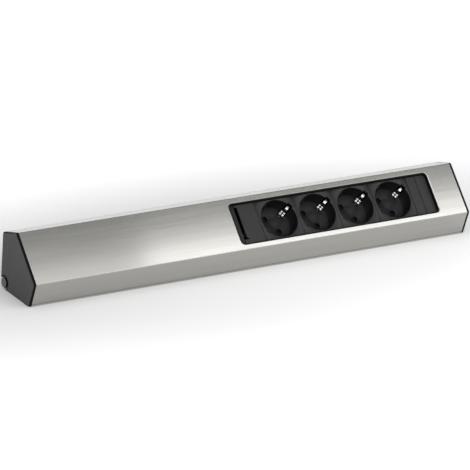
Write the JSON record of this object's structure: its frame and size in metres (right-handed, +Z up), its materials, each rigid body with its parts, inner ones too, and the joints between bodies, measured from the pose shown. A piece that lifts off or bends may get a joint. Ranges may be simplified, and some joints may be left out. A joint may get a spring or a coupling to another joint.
{
  "type": "corner-mount desk power strip",
  "caption": "Corner-mount desk power strip: five-sided aluminium profile with end caps and a recessed row of turned earthed sockets in its sloping face.",
  "frame": {"origin": "middle of the strip's length and of its depth, on the worktop plane it stands on", "axes": "+X along the strip, from the plain end to the socket end; +Y into the wall behind it; +Z up from the worktop. The sloping main face looks towards -Y and +Z."},
  "size_m": [0.4948, 0.0638, 0.0638],
  "materials": {
    "anodised_aluminium": "brushed along the length, clear anodised",
    "cap_plastic": "matte grey",
    "fitting_plastic": "matte grey",
    "carrier_plastic": "matte black",
    "module_plastic": "matte anthracite",
    "base_plastic": "matte black",
    "shutter_plastic": "matte black",
    "terminal_plastic": "cream",
    "nickel_plate": "nickel-plated spring brass",
    "zinc_steel": "zinc-plated steel",
    "spring_steel": "spring steel",
    "brass": "plain brass",
    "tinned_copper": "tin-plated copper",
    "wire_brown": "brown insulation",
    "wire_blue": "blue insulation",
    "wire_green": "green insulation with a yellow stripe"
  },
  "bodies": {
    "housing": {"front_profile": "anodised_aluminium", "rear_profile": "anodised_aluminium", "end_cap_left": "cap_plastic", "end_cap_right": "cap_plastic", "outlet_plug": "fitting_plastic", "cord_gland": "fitting_plastic", "module_carrier": "carrier_plastic", "blank_module_left": "module_plastic", "spacer_blank": "module_plastic", "blank_module_right": "module_plastic", "socket_1": "module_plastic", "socket_base_1": "base_plastic", "earth_clip_1": "nickel_plate", "shutter_spring_1": "spring_steel", "socket_2": "module_plastic", "socket_base_2": "base_plastic", "earth_clip_2": "nickel_plate", "shutter_spring_2": "spring_steel", "socket_3": "module_plastic", "socket_base_3": "base_plastic", "earth_clip_3": "nickel_plate", "shutter_spring_3": "spring_steel", "socket_4": "module_plastic", "socket_base_4": "base_plastic", "earth_clip_4": "nickel_plate", "shutter_spring_4": "spring_steel", "module_screws": "zinc_steel", "busbar_live": "brass", "busbar_neutral": "brass", "busbar_earth": "brass", "terminal_block": "terminal_plastic", "terminal_clamps": "brass", "terminal_screws": "zinc_steel", "wire_live": "wire_brown", "wire_neutral": "wire_blue", "wire_earth": "wire_green", "bond_wire": "wire_green", "bond_lug": "tinned_copper", "bond_screw": "zinc_steel", "cord_clamp": "fitting_plastic", "clamp_screws": "zinc_steel"},
    "shutter_1": {"shutter_1": "shutter_plastic"},
    "shutter_2": {"shutter_2": "shutter_plastic"},
    "shutter_3": {"shutter_3": "shutter_plastic"},
    "shutter_4": {"shutter_4": "shutter_plastic"}
  },
  "joints": [
    {"name": "shutter_1_turn", "type": "hinge", "parent": "housing", "child": "shutter_1", "pos_m": [0.0362, 0.00405, 0.02787], "axis": [0, -0.7071, 0.7071], "range_deg": [0, 40], "stiffness_Nm_per_rad": 0.004, "springref_deg": -22.92, "deforming": ["shutter_spring_1"]},
    {"name": "shutter_2_turn", "type": "hinge", "parent": "housing", "child": "shutter_2", "pos_m": [0.0802, 0.00405, 0.02787], "axis": [0, -0.7071, 0.7071], "range_deg": [0, 40], "stiffness_Nm_per_rad": 0.004, "springref_deg": -22.92, "deforming": ["shutter_spring_2"]},
    {"name": "shutter_3_turn", "type": "hinge", "parent": "housing", "child": "shutter_3", "pos_m": [0.1242, 0.00405, 0.02787], "axis": [0, -0.7071, 0.7071], "range_deg": [0, 40], "stiffness_Nm_per_rad": 0.004, "springref_deg": -22.92, "deforming": ["shutter_spring_3"]},
    {"name": "shutter_4_turn", "type": "hinge", "parent": "housing", "child": "shutter_4", "pos_m": [0.1682, 0.00405, 0.02787], "axis": [0, -0.7071, 0.7071], "range_deg": [0, 40], "stiffness_Nm_per_rad": 0.004, "springref_deg": -22.92, "deforming": ["shutter_spring_4"]}
  ]
}
